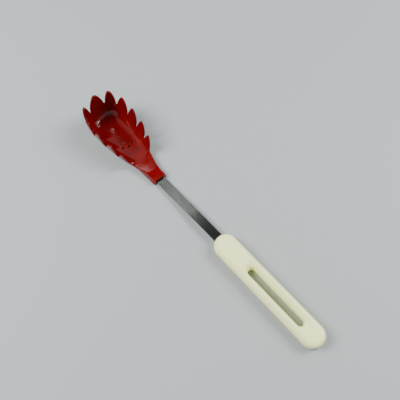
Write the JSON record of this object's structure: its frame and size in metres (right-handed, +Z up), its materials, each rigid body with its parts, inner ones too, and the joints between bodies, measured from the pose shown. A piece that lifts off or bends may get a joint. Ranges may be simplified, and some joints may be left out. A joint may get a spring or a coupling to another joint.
{
  "type": "pasta server",
  "caption": "Pasta server: deep toothed nylon bowl with drain holes, flat steel shank strip and long slotted plastic handle.",
  "frame": {"origin": "middle of the overall length, in the plane of symmetry, on the surface that the server lies on", "axes": "+X from the handle's butt to the front tooth, +Y across the width, +Z up out of the bowl"},
  "size_m": [0.3387, 0.0496, 0.0428],
  "materials": {
    "red_nylon": "glossy moulded red nylon, slightly mottled",
    "strip_steel": "stainless strip, finely brushed along its length, bright edges",
    "cream_plastic": "smooth moulded cream plastic, satin gloss"
  },
  "bodies": {
    "root": {"server_head": "red_nylon", "shank_strip": "strip_steel", "handle": "cream_plastic"}
  },
  "joints": []
}
